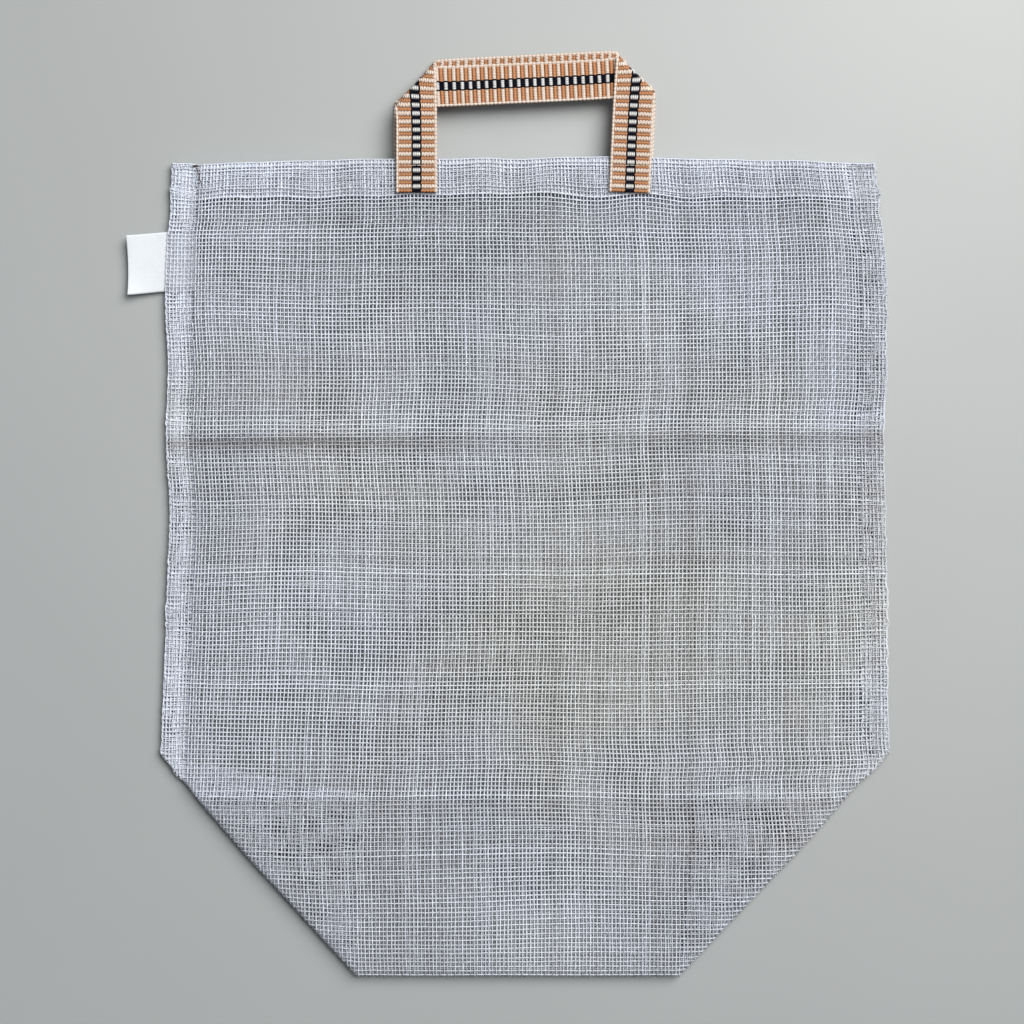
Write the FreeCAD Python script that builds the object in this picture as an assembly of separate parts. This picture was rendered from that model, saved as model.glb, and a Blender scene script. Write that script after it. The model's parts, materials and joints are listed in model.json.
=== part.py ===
"""Mesh produce bag with two woven tape handles, empty and lying on its back.

Frame: origin at the centre of the bag's body on the surface it lies on, +Y towards the mouth and
the handles, +Z up through the front, millimetres. The cloth bag is folded across on two creases,
so its body is three sections, and each handle and the side label turn on their own stitch lines.
"""

import FreeCAD, Part
import math
import os

Vector = FreeCAD.Vector

# ---- Driving dimensions -------------------------------------------------------------------
BODY_LENGTH = 407.5  # mouth edge to bottom fold
MOUTH_WIDTH = 352.5
SHOULDER_WIDTH = 363.5  # widest place, where the tucked corners begin
LEFT_SHOULDER_Y = -93.5
RIGHT_SHOULDER_Y = -91.5
LEFT_FOOT_X = -84.0  # ends of the bottom fold
RIGHT_FOOT_X = 77.5

CLOTH = 0.8  # one ply of open mesh, over its thread crossings
MOUTH_SLACK = 4.6  # room between the hems of the empty bag
SEAM_WIDTH = 12.5  # side seam allowances, felled into a flat flange
SEAM_EDGE = 2.4  # flange thickness at its outer edge
FOLD_WIDTH = 4.5  # rounded fold along the bottom and the tucked corners
UPPER_CREASE_Y = 68.0
LOWER_CREASE_Y = -113.0
LEFT_TUCK_X = -78.0  # inner points of the tucked corners, on the lower crease
RIGHT_TUCK_X = 86.0

HEM_DEPTH = 16.75
HEM = 1.6  # the hem's plies together
BACK_HEM_LAP = 3.0  # the strip where the back hem steps down onto its panel

TAPE_WIDTH = 21.0
TAPE = 1.4
FOOT_LAP = 16.0  # handle tape sewn flat over the hem
FRONT_LEGS = (-53.75, 52.9)  # leg centres at the mouth edge
BACK_LEGS = (-55.4, 54.2)
LEG_LEAN = (0.0, 0.043)  # sideways run per unit of height
FRONT_GRIP_Y = 242.8  # middle of the crossbar
BACK_GRIP_Y = 247.2
GRIP_RISE = 0.0485

LABEL_LENGTH = 30.0  # along the seam
LABEL_REACH = 20.0
LABEL = 1.0  # folded double
LABEL_Y = 153.3
LABEL_TILT = 2.5  # degrees

STITCH = 0.7  # width of a row of stitches
STITCH_SINK = 0.4  # depth that a row pulls into the cloth
TACK_INSET = 2.6  # rows across a handle's foot, from each end of it
TAIL_LENGTH = 3.6  # loose thread end at the left corner of the mouth
TAIL_RADIUS = 0.5

GAP = 0.6  # running room at the label's fold
BIG = 1000.0

# ---- Levels and lines that follow from them -----------------------------------------------
TOP_Y = BODY_LENGTH / 2
BOTTOM_Y = -BODY_LENGTH / 2
BACK_HEM_Z = TAPE
FRONT_Z = BACK_HEM_Z + HEM + MOUTH_SLACK
FRONT_TOP = FRONT_Z + CLOTH
HEM_Y = TOP_Y - HEM_DEPTH
HEM_TOP = FRONT_Z + HEM

OUTLINE = [
    (-MOUTH_WIDTH / 2, TOP_Y),
    (-SHOULDER_WIDTH / 2, LEFT_SHOULDER_Y),
    (LEFT_FOOT_X, BOTTOM_Y),
    (RIGHT_FOOT_X, BOTTOM_Y),
    (SHOULDER_WIDTH / 2, RIGHT_SHOULDER_Y),
    (MOUTH_WIDTH / 2, TOP_Y),
]
EDGE_WIDTHS = [SEAM_WIDTH, FOLD_WIDTH, FOLD_WIDTH, FOLD_WIDTH, SEAM_WIDTH, 0.0]
LEFT_SEAM, LEFT_CORNER, BOTTOM, RIGHT_CORNER, RIGHT_SEAM = range(5)

SECTIONS = {
    "mouth": (UPPER_CREASE_Y, TOP_Y),
    "middle": (LOWER_CREASE_Y, UPPER_CREASE_Y),
    "base": (BOTTOM_Y, LOWER_CREASE_Y),
}


# ---- Plane geometry -----------------------------------------------------------------------
def meet(p, u, q, v):
    """Where the line through p along u crosses the line through q along v."""
    t = ((q[0] - p[0]) * v[1] - (q[1] - p[1]) * v[0]) / (u[0] * v[1] - u[1] * v[0])
    return (p[0] + t * u[0], p[1] + t * u[1])


def edge_line(points, i, inset):
    """A point and the direction of edge i of an anticlockwise polygon, moved inwards."""
    (ax, ay), (bx, by) = points[i], points[(i + 1) % len(points)]
    length = math.hypot(bx - ax, by - ay)
    ux, uy = (bx - ax) / length, (by - ay) / length
    return (ax - uy * inset, ay + ux * inset), (ux, uy)


def inset_polygon(points, insets):
    """The polygon with each edge moved inwards by its own distance."""
    lines = [edge_line(points, i, inset) for i, inset in enumerate(insets)]
    return [meet(*lines[i - 1], *lines[i]) for i in range(len(points))]


# ---- Solids -------------------------------------------------------------------------------
def slab(points, low, high):
    """A flat plate with the given outline between two levels."""
    ring = [Vector(x, y, low) for x, y in points]
    face = Part.Face(Part.makePolygon(ring + ring[:1]))
    return face.extrude(Vector(0, 0, high - low))


def wedge(points, heights):
    """A prism on z = 0 whose flat top passes through the given height over each point."""
    count = len(points)
    low = [Vector(x, y, 0) for x, y in points]
    high = [Vector(x, y, z) for (x, y), z in zip(points, heights)]
    rings = [low, high]
    rings += [[low[i], low[(i + 1) % count], high[(i + 1) % count], high[i]] for i in range(count)]
    faces = [Part.Face(Part.makePolygon(ring + ring[:1])) for ring in rings]
    solid = Part.Solid(Part.Shell(faces))
    if solid.Volume < 0:
        solid.reverse()
    return solid


def box(low, high):
    """A box between two opposite corners."""
    size = [b - a for a, b in zip(low, high)]
    return Part.makeBox(*size, Vector(*low))


def between(shape, low_y, high_y):
    """The part of a shape between two lines across the bag."""
    return shape.common(box((-BIG, low_y, -BIG), (BIG, high_y, BIG)))


def take(nodes, name, row, tool):
    """Moves what lies inside a tool out of a node and into a node of its own."""
    nodes[row] = nodes[name].common(tool)
    nodes[name] = nodes[name].cut(tool)


# ---- The bag's body -----------------------------------------------------------------------
INSIDE = inset_polygon(OUTLINE, EDGE_WIDTHS)


def edge_band(i):
    """The closed edge of the bag along edge i: thin outside, as high as the panels inside."""
    j = i + 1
    corners = [OUTLINE[i], OUTLINE[j], INSIDE[j], INSIDE[i]]
    return wedge(corners, [SEAM_EDGE, SEAM_EDGE, FRONT_TOP, FRONT_TOP])


def tucked_flap(first, second, apex_x):
    """The bag's corner pushed in between the panels, folded flat on itself."""
    apex = (apex_x, LOWER_CREASE_Y)
    middle = FRONT_TOP / 2
    return slab([first, second, apex], middle - CLOTH, middle + CLOTH)


def body_nodes():
    """Panels, side seams, bottom fold and tucked corners, section by section."""
    nodes = {}
    front = slab(INSIDE, FRONT_Z, FRONT_TOP)
    back = slab(INSIDE, 0.0, CLOTH)
    for section, (low, high) in SECTIONS.items():
        high = min(high, HEM_Y)
        nodes[f"front_panel_{section}"] = between(front, low, high)
        nodes[f"back_panel_{section}"] = between(back, low, high)
    sides = (
        ("left", LEFT_SEAM, LEFT_CORNER, LEFT_TUCK_X),
        ("right", RIGHT_SEAM, RIGHT_CORNER, RIGHT_TUCK_X),
    )
    for side, seam, corner, apex_x in sides:
        felled = edge_band(seam)
        folded = edge_band(corner)
        flap = tucked_flap(INSIDE[corner], INSIDE[corner + 1], apex_x)
        nodes[f"{side}_seam_mouth"] = between(felled, *SECTIONS["mouth"])
        nodes[f"{side}_seam_middle"] = between(felled, *SECTIONS["middle"])
        nodes[f"{side}_shoulder_fold"] = between(folded, *SECTIONS["middle"])
        nodes[f"{side}_corner_tuck"] = between(folded.fuse(flap), *SECTIONS["base"])
    nodes["bottom_fold"] = edge_band(BOTTOM)
    return nodes


def hem_nodes():
    """The turned hem round the mouth, front and back; the back one steps over the handle's feet."""
    front = slab(INSIDE, FRONT_Z, HEM_TOP)
    back = slab(INSIDE, BACK_HEM_Z, BACK_HEM_Z + HEM)
    step = slab(INSIDE, CLOTH, BACK_HEM_Z + HEM)
    return {
        "front_hem": between(front, HEM_Y, TOP_Y),
        "back_hem": between(back, HEM_Y, TOP_Y).fuse(between(step, HEM_Y - BACK_HEM_LAP, HEM_Y)),
    }


# ---- Handles ------------------------------------------------------------------------------
def leg_edges(centre_x, lean):
    """The two long edges of a handle's leg, each as a point and a direction."""
    direction = (lean, 1.0)
    half = TAPE_WIDTH / 2 * math.hypot(*direction)
    return [((centre_x + side * half, TOP_Y), direction) for side in (-1, 1)]


def handle_outlines(legs, grip_y):
    """Outlines of the left leg, the right leg and the crossbar, mitred where the tape folds."""
    direction = (1.0, GRIP_RISE)
    half = TAPE_WIDTH / 2 * math.hypot(*direction)
    lower, upper = (((0.0, grip_y + side * half), direction) for side in (-1, 1))
    left_outer, left_inner = leg_edges(legs[0], LEG_LEAN[0])
    right_inner, right_outer = leg_edges(legs[1], LEG_LEAN[1])
    mitres = [
        (meet(*left_outer, *lower), meet(*left_inner, *upper)),
        (meet(*right_outer, *lower), meet(*right_inner, *upper)),
    ]
    left = [left_outer[0], left_inner[0], mitres[0][1], mitres[0][0]]
    right = [right_inner[0], right_outer[0], mitres[1][0], mitres[1][1]]
    bar = [mitres[0][0], mitres[1][0], mitres[1][1], mitres[0][1]]
    return left, right, bar


def foot_outline(centre_x, lean):
    """The sewn end of a leg, over the hem."""
    (left, direction), (right, _) = leg_edges(centre_x, lean)
    run = direction[0] * FOOT_LAP
    return [(left[0] - run, TOP_Y - FOOT_LAP), (right[0] - run, TOP_Y - FOOT_LAP), right, left]


def handle_nodes(face, legs, grip_y, leg_z, bar_z, sink_z):
    """One handle: its free loop, its two sewn feet and the tack stitches across them."""
    nodes = {}
    left, right, bar = handle_outlines(legs, grip_y)
    loop = slab(left, leg_z, leg_z + TAPE).fuse(slab(right, leg_z, leg_z + TAPE))
    nodes[f"{face}_handle_loop"] = loop.fuse(slab(bar, bar_z, bar_z + TAPE))
    rows = [TOP_Y - FOOT_LAP + TACK_INSET, TOP_Y - TACK_INSET]
    for side, centre_x, lean in zip(("left", "right"), legs, LEG_LEAN):
        foot = f"{face}_{side}_foot"
        nodes[foot] = slab(foot_outline(centre_x, lean), leg_z, leg_z + TAPE)
        threads = [
            box((-BIG, y - STITCH / 2, sink_z), (BIG, y + STITCH / 2, sink_z + STITCH_SINK))
            for y in rows
        ]
        take(nodes, foot, f"{face}_{side}_tack", Part.makeCompound(threads))
    return nodes


# ---- Label, thread ends and stitch rows ---------------------------------------------------
def seam_edge_x(y):
    """The left side seam's outer edge at a height."""
    (ax, ay), (bx, by) = OUTLINE[0], OUTLINE[1]
    return ax + (bx - ax) * (y - ay) / (by - ay)


def label_nodes(nodes):
    """The folded label: its free part outside the seam and its tail sewn into the seam."""
    root_x = seam_edge_x(LABEL_Y - LABEL_LENGTH / 2)
    low = (SEAM_EDGE - LABEL) / 2
    size = (LABEL_LENGTH / 2, LABEL_REACH)
    blank = box((-size[1], -size[0], low), (0, size[0], low + LABEL))
    blank.rotate(Vector(0, 0, 0), Vector(0, 0, 1), LABEL_TILT)
    blank.translate(Vector(root_x - GAP, LABEL_Y, 0))
    free_side = box((-BIG, -BIG, -BIG), (root_x - GAP, BIG, BIG))
    nodes["label"] = blank.common(free_side)
    tail = box(
        (root_x - SEAM_WIDTH, LABEL_Y - size[0], low), (root_x + BIG, LABEL_Y + size[0], low + LABEL)
    )
    take(nodes, "left_seam_mouth", "label_tail", tail)


def stitch_nodes(nodes):
    """Rows of stitches along both hems and both side seams, pulled into the cloth."""
    row_y = HEM_Y + TACK_INSET
    for name, low in (("front_hem", HEM_TOP - STITCH_SINK), ("back_hem", BACK_HEM_Z)):
        row = box((-BIG, row_y - STITCH / 2, low), (BIG, row_y + STITCH / 2, low + STITCH_SINK))
        take(nodes, name, f"{name}_stitch", row)
    for side, seam in (("left", LEFT_SEAM), ("right", RIGHT_SEAM)):
        insets = [list(EDGE_WIDTHS), list(EDGE_WIDTHS)]
        insets[0][seam] = SEAM_WIDTH - 3 * STITCH
        insets[1][seam] = SEAM_WIDTH - 2 * STITCH
        outer, inner = (inset_polygon(OUTLINE, widths) for widths in insets)
        row = [outer[seam], outer[seam + 1], inner[seam + 1], inner[seam]]
        drop = (FRONT_TOP - SEAM_EDGE) * 3 * STITCH / SEAM_WIDTH
        groove = slab(row, FRONT_TOP - drop - STITCH_SINK, FRONT_TOP)
        for section in ("mouth", "middle"):
            take(nodes, f"{side}_seam_{section}", f"{side}_stitch_{section}", groove)


def thread_tail():
    """The end of the sewing thread, lying on the front hem at the left corner."""
    start = Vector(INSIDE[0][0] + TAIL_RADIUS, TOP_Y - 4 * TAIL_RADIUS, HEM_TOP + TAIL_RADIUS)
    return Part.makeCylinder(TAIL_RADIUS, TAIL_LENGTH, start, Vector(1, 0, 0))


def build():
    """Every node by name."""
    nodes = body_nodes()
    nodes.update(hem_nodes())
    sink_z = HEM_TOP + TAPE - STITCH_SINK
    nodes.update(handle_nodes("front", FRONT_LEGS, FRONT_GRIP_Y, HEM_TOP, HEM_TOP - TAPE, sink_z))
    nodes.update(handle_nodes("back", BACK_LEGS, BACK_GRIP_Y, 0.0, TAPE, 0.0))
    label_nodes(nodes)
    stitch_nodes(nodes)
    nodes["thread_tail"] = thread_tail()
    return nodes


def main():
    os.makedirs("parts", exist_ok=True)
    for name, shape in build().items():
        solids = shape.Solids
        if not solids or not all(solid.isValid() for solid in solids):
            raise ValueError(f"{name} has no valid solid")
        whole = solids[0] if len(solids) == 1 else Part.makeCompound(solids)
        whole.exportStep(f"parts/{name}.step")
        bounds = whole.BoundBox
        print(
            f"{name:22s} {len(solids)} solid(s) {whole.Volume:10.1f} mm3  "
            f"x {bounds.XMin:7.1f}..{bounds.XMax:6.1f}  y {bounds.YMin:7.1f}..{bounds.YMax:6.1f}  "
            f"z {bounds.ZMin:5.2f}..{bounds.ZMax:5.2f}"
        )


main()
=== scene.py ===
"""The mesh produce bag as it lies empty on its back: gauze woven thread by thread, ribbed tape
handles folded at their mitres, a blank side label, and the rows of stitches that hold them.

Lengths are millimetres up to mesh_object(), which writes metres. Places come from the frame.
"""

import json
import math

import bpy
import numpy as np
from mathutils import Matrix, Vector


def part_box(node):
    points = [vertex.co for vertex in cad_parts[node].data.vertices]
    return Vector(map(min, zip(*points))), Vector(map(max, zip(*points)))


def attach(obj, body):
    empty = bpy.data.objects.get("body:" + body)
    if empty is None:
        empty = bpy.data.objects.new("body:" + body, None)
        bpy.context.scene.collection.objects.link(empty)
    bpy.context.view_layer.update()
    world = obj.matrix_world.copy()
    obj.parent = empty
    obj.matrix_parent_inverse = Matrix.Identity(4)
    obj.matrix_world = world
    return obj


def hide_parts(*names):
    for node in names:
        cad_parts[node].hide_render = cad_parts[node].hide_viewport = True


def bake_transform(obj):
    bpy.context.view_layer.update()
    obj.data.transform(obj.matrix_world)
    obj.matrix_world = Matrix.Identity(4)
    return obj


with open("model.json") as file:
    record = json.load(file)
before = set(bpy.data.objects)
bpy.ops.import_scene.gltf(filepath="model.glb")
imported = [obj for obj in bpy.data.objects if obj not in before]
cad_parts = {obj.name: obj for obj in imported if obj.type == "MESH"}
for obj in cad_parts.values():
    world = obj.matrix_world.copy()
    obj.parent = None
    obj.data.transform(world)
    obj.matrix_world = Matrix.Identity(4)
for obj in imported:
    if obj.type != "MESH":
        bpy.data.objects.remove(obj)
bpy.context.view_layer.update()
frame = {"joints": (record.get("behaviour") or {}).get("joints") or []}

MM = 0.001
UV_MAP = "OFBake"  # the name of every mesh's UV map


# ---- The frame's sizes and lines, in millimetres ----
def limits(node):
    """A node's lowest and highest corners."""
    low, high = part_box(node)
    return np.array(low) / MM, np.array(high) / MM


def joint(name):
    """A joint's place."""
    return np.array(next(j for j in frame["joints"] if j["name"] == name)["pos_m"]) / MM


TOP_Y = limits("front_hem")[1][1]
HEM_Y = limits("front_hem")[0][1]
UPPER_CREASE_Y = joint("upper_fold")[1]
LOWER_CREASE_Y = joint("lower_fold")[1]


def body_outline():
    """The body's corners, anticlockwise from the left end of the mouth."""
    foot_low, foot_high = limits("bottom_fold")
    low, high = limits("left_shoulder_fold")
    left = (low[0], high[1])
    right = limits("right_shoulder_fold")[1][:2]
    crease_x = limits("right_seam_mouth")[1][0]
    run = (right[0] - crease_x) / (UPPER_CREASE_Y - right[1])
    mouth_x = crease_x - run * (TOP_Y - UPPER_CREASE_Y)
    return np.array([
        (-mouth_x, TOP_Y), left, (foot_low[0], foot_low[1]),
        (foot_high[0], foot_low[1]), right, (mouth_x, TOP_Y),
    ])


OUTLINE = body_outline()
LEFT_SEAM, LEFT_CORNER, BOTTOM, RIGHT_CORNER, RIGHT_SEAM, MOUTH = range(6)
SEAM_EDGES = {"left": LEFT_SEAM, "right": RIGHT_SEAM}
CORNER_EDGES = {"left": LEFT_CORNER, "right": RIGHT_CORNER}
SEAM_WIDTH = OUTLINE[MOUTH][0] - limits("right_seam_mouth")[0][0]
SPLIT_Y = (UPPER_CREASE_Y + LOWER_CREASE_Y) / 2


def inward(x, y, polygon, edge):
    """Distance inside one edge of an anticlockwise polygon."""
    a, b = polygon[edge], polygon[(edge + 1) % len(polygon)]
    ux, uy = (b - a) / np.hypot(*(b - a))
    return (y - a[1]) * ux - (x - a[0]) * uy


def edge_ends(edge):
    """The upper and the lower end of one of the body's edges."""
    a, b = OUTLINE[edge], OUTLINE[(edge + 1) % len(OUTLINE)]
    return (a, b) if a[1] > b[1] else (b, a)


def depth(x, y, polygon):
    """Distance inside the nearest edge of a convex polygon, negative outside."""
    return np.min([inward(x, y, polygon, edge) for edge in range(len(polygon))], axis=0)


# ---- Smooth steps and random waves ----
def smooth(value):
    """An even step from 0 at 0 to 1 at 1."""
    t = np.clip(value, 0.0, 1.0)
    return t * t * (3 - 2 * t)


def shoulder(value):
    """A quarter of an ellipse, up from 0 at 0 to 1 at 1."""
    t = np.clip(value, 0.0, 1.0)
    return np.sqrt(1 - (1 - t) ** 2)


def waves(seed, shortest, longest, count=14, along=(1.0, 1.0)):
    """A smooth random field of about unit height; along stretches it in x and y."""
    rng = np.random.default_rng(seed)
    size = rng.uniform(shortest, longest, count)
    turn = rng.uniform(0, math.pi, count)
    phase = rng.uniform(0, 2 * math.pi, count)
    kx = 2 * math.pi * np.cos(turn) / size / along[0]
    ky = 2 * math.pi * np.sin(turn) / size / along[1]

    def field(x, y):
        return sum(np.sin(a * x + b * y + c) for a, b, c in zip(kx, ky, phase)) * math.sqrt(2 / count)

    return field


# ---- Objects and meshes ----
def added(name, data, place=(0, 0, 0), turn=(0, 0, 0)):
    """A new object in the scene."""
    thing = bpy.data.objects.new(name, data)
    thing.location, thing.rotation_euler = place, turn
    bpy.context.scene.collection.objects.link(thing)
    return thing


def tube_faces(rings, sides):
    """The quads of a tube whose points are rings of equal size, one after the other."""
    first = np.arange(rings - 1)[:, None] * sides + np.arange(sides)[None]
    second = np.arange(rings - 1)[:, None] * sides + (np.arange(sides)[None] + 1) % sides
    return np.stack([first, second, second + sides, first + sides], axis=-1).reshape(-1, 4)


def mesh_object(name, points, faces, materials, face_slots=None, tone=None, uv=None):
    """An object from points, and arrays of faces with equal corner counts."""
    mesh = bpy.data.meshes.new(name)
    corners = np.concatenate([f.ravel() for f in faces]).astype(np.int32)
    counts = np.concatenate([np.full(len(f), f.shape[1]) for f in faces])
    starts = np.concatenate([[0], np.cumsum(counts)[:-1]]).astype(np.int32)
    mesh.vertices.add(len(points))
    mesh.vertices.foreach_set("co", (points * MM).astype(np.float32).ravel())
    mesh.loops.add(len(corners))
    mesh.loops.foreach_set("vertex_index", corners)
    mesh.polygons.add(len(starts))
    mesh.polygons.foreach_set("loop_start", starts)
    if face_slots is not None:
        mesh.polygons.foreach_set("material_index", face_slots.astype(np.int32))
    if tone is not None:
        mesh.attributes.new("tone", "FLOAT", "POINT").data.foreach_set("value", tone.astype(np.float32))
    if uv is None:
        low, high = points.min(0), points.max(0)
        uv = ((points - low) / (high - low).max())[:, :2]
    layer = mesh.uv_layers.new(name=UV_MAP)
    layer.data.foreach_set("uv", uv[corners].astype(np.float32).ravel())
    mesh.update(calc_edges=True)
    mesh.shade_smooth()
    for material in materials:
        mesh.materials.append(material)
    return added(name, mesh)


class Yarns:
    """Yarns as closed round tubes, for one object."""

    def __init__(self, sides=5, flatten=0.85):
        turn = np.arange(sides) * 2 * math.pi / sides
        self.cos, self.sin = np.cos(turn), np.sin(turn) * flatten
        self.sides = sides
        self.points, self.quads, self.caps, self.tones = [], [], [], []
        self.count = 0

    def add(self, path, radius, tone):
        """One yarn along a path that stays near the horizontal."""
        along = np.gradient(path, axis=0)
        along /= np.linalg.norm(along, axis=1)[:, None]
        side = np.stack([along[:, 1], -along[:, 0], np.zeros(len(path))], axis=1)
        side /= np.linalg.norm(side, axis=1)[:, None]
        up = np.cross(side, along)
        spread = side[:, None] * self.cos[None, :, None] + up[:, None] * self.sin[None, :, None]
        rings = path[:, None] + spread * np.broadcast_to(radius, len(path))[:, None, None]
        n, k = len(path), self.sides
        self.quads.append(self.count + tube_faces(n, k))
        ends = self.count + np.arange(k)
        self.caps.append(np.stack([ends[::-1], ends + (n - 1) * k]))
        self.points.append(rings.reshape(-1, 3))
        self.tones.append(np.repeat(np.broadcast_to(tone, n), k))
        self.count += n * k

    def make(self, name, material, slot, *nodes):
        """The object, which stands for some of the frame's nodes."""
        points, tones = np.concatenate(self.points), np.concatenate(self.tones)
        faces = [np.concatenate(self.quads), np.concatenate(self.caps)]
        piece = mesh_object(name, points, faces, [material], tone=tones)
        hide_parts(*nodes)
        return piece


# ---- Materials ----
class Nodes:
    """A short way to write a material's node tree."""

    def __init__(self, name):
        self.material = bpy.data.materials.new(name)
        self.material.use_nodes = True
        self.tree = self.material.node_tree
        self.shader = self.tree.nodes["Principled BSDF"]

    def link(self, value, socket):
        if isinstance(value, bpy.types.NodeSocket):
            self.tree.links.new(value, socket)
        else:
            socket.default_value = value

    def add(self, kind, output, inputs, **settings):
        """One output of a new node."""
        node = self.tree.nodes.new("ShaderNode" + kind)
        for name, value in settings.items():
            setattr(node, name, value)
        for name, value in inputs.items():
            self.link(value, node.inputs[name])
        return node.outputs[output]

    def mapped(self, scale, location=(0.0, 0.0, 0.0), vector_type="POINT"):
        """The object's own coordinates, in metres, moved and scaled."""
        inputs = {"Vector": self.add("TexCoord", "Object", {}), "Location": location, "Scale": scale}
        return self.add("Mapping", "Vector", inputs, vector_type=vector_type)

    def noise(self, scale, detail=3.0, rough=0.5, stretch=(1.0, 1.0, 1.0)):
        """Noise from 0 to 1."""
        inputs = {"Scale": scale, "Detail": detail, "Roughness": rough}
        return self.add("TexNoise", "Fac", {"Vector": self.mapped(stretch), **inputs})

    def glow(self, place, radius):
        """1 at a place, in metres, falling to 0 at a radius round it."""
        inputs = {"Vector": self.mapped((radius, radius, radius), place, "TEXTURE")}
        return self.add("TexGradient", "Fac", inputs, gradient_type="QUADRATIC_SPHERE")

    def attribute(self, name):
        return self.add("Attribute", "Fac", {}, attribute_name=name)

    def ramp(self, value, low, high):
        """value from low to high, stretched to 0 to 1."""
        return self.add("MapRange", "Result", {"Value": value, "From Min": low, "From Max": high})

    def maths(self, operation, a, b):
        return self.add("Math", 0, {0: a, 1: b}, operation=operation)

    def mix(self, factor, a, b, blend="MIX"):
        inputs = {"Factor": factor, "A": a, "B": b}
        return self.add("Mix", "Result", inputs, data_type="RGBA", blend_type=blend)

    def darkened(self, base, value, low, high, darkest):
        """base, multiplied by darkest where value is low."""
        shade = self.mix(self.ramp(value, low, high), darkest, rgb(1.0, 1.0, 1.0))
        return self.mix(1.0, base, shade, "MULTIPLY")

    def bump(self, height, strength, distance):
        inputs = {"Strength": strength, "Distance": distance, "Height": height}
        self.link(self.add("Bump", "Normal", inputs), self.shader.inputs["Normal"])

    def set(self, **values):
        for name, value in values.items():
            self.link(value, self.shader.inputs[name.replace("_", " ")])
        return self.material


def rgb(red, green, blue):
    return (red, green, blue, 1.0)


WARM_PLACE, WARM_RADIUS = (0.035, -0.01, 0.0), 0.26  # where the gauze is warmest, in metres


def gauze_material():
    """Undyed yarn: a tone for each thread, which also carries painted shade and light, cool by the edges
    and warmer in the middle.
    """
    n = Nodes("gauze")
    thread = n.mix(n.attribute("tone"), rgb(0.34, 0.33, 0.35), rgb(0.83, 0.885, 1.0))
    warmth = n.maths("ADD", n.glow(WARM_PLACE, WARM_RADIUS), n.maths("MULTIPLY", n.noise(9.0, 2.0), 2.0))
    warmth = n.ramp(warmth, 1.0, 1.75)
    tinted = n.mix(warmth, thread, n.mix(1.0, thread, rgb(1.0, 0.972, 0.88), "MULTIPLY"))
    colour = n.darkened(tinted, n.noise(2600.0, 2.0), 0.25, 0.75, rgb(0.84, 0.84, 0.84))
    return n.set(Base_Color=colour, Roughness=0.85, Sheen_Weight=0.15, Specular_IOR_Level=0.2)


def thread_material(name, colour):
    """Spun sewing thread."""
    n = Nodes(name)
    twisted = n.darkened(rgb(*colour), n.noise(3200.0, 2.0), 0.2, 0.8, rgb(0.75, 0.75, 0.75))
    return n.set(Base_Color=twisted, Roughness=0.7, Sheen_Weight=0.1)


def tape_material(name, colour, dark, worn, groove_shade, sheen=0.1):
    """One of the tape's cotton yarns: darker fibres, painted shade in the grooves, and faded patches."""
    n = Nodes(name)
    fibre = n.ramp(n.noise(1500.0, 4.0, 0.6), 0.3, 0.7)
    base = n.mix(fibre, rgb(*dark), rgb(*colour))
    fade = n.ramp(n.noise(70.0, 3.0), 0.45, 0.75)
    base = n.mix(n.maths("MULTIPLY", fade, 0.35), base, rgb(*worn))
    # Painted shade in the grooves, where the tone attribute is low.
    base = n.darkened(base, n.attribute("tone"), 0.05, 0.75, rgb(*groove_shade))
    n.bump(n.noise(2400.0, 3.0), 0.35, 0.0002)
    rough = n.ramp(n.noise(900.0, 2.0), -1.2, 1.1)
    return n.set(Base_Color=base, Roughness=rough, Sheen_Weight=sheen, Specular_IOR_Level=2 * sheen)


def label_material():
    """White woven label tape: fine cross ribs and slight greying in patches."""
    n = Nodes("label_tape")
    soil = n.ramp(n.noise(90.0, 4.0), 0.4, 0.8)
    base = n.mix(n.maths("MULTIPLY", soil, 0.3), rgb(0.75, 0.785, 0.82), rgb(0.62, 0.66, 0.70))
    ribs = n.noise(1.0, 0.0, 0.5, (900.0, 5200.0, 900.0))
    ribbed = n.darkened(base, ribs, 0.3, 0.7, rgb(0.93, 0.93, 0.94))
    n.bump(ribs, 0.25, 0.0001)
    return n.set(Base_Color=ribbed, Roughness=0.62, Sheen_Weight=0.1)


GAUZE = gauze_material()
SEWING = thread_material("sewing_thread", (0.72, 0.75, 0.80))
TACK_THREAD = thread_material("tack_thread", (0.86, 0.74, 0.62))
DARK_THREAD = thread_material("dark_thread", (0.07, 0.032, 0.028))
LABEL = label_material()
TERRACOTTA, CREAM, BLACK, WHITE = range(4)
TAPE_YARNS = [
    tape_material(
        "tape_terracotta", (0.73, 0.35, 0.165), (0.55, 0.23, 0.095), (0.78, 0.45, 0.25), (0.20, 0.14, 0.10)
    ),
    tape_material(
        "tape_cream", (0.90, 0.80, 0.715), (0.73, 0.60, 0.50), (0.93, 0.86, 0.79), (0.40, 0.29, 0.23)
    ),
    tape_material(
        "tape_black", (0.008, 0.009, 0.016), (0.003, 0.003, 0.006), (0.018, 0.018, 0.03),
        (0.5, 0.5, 0.5), sheen=0.02,
    ),
    tape_material(
        "tape_white", (0.86, 0.86, 0.84), (0.60, 0.59, 0.57), (0.92, 0.92, 0.90), (0.12, 0.12, 0.14)
    ),
]


# ---- How the cloth lies ----
FLANGE_Z = 3.0  # front ply over the felled seam
EDGE_Z = 2.2  # where front and back meet along a fold
PANEL_Z = 7.2  # front panel away from its edges
HEM_Z = 8.5  # front hem, under the handle's feet
BACK_PANEL_Z = 0.5
BACK_HEM_Z = 2.0  # back hem, over the handle's feet
SIDE_RISE = 26.0  # how far in from a seam the front reaches its height
FOLD_RISE = 16.0

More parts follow.
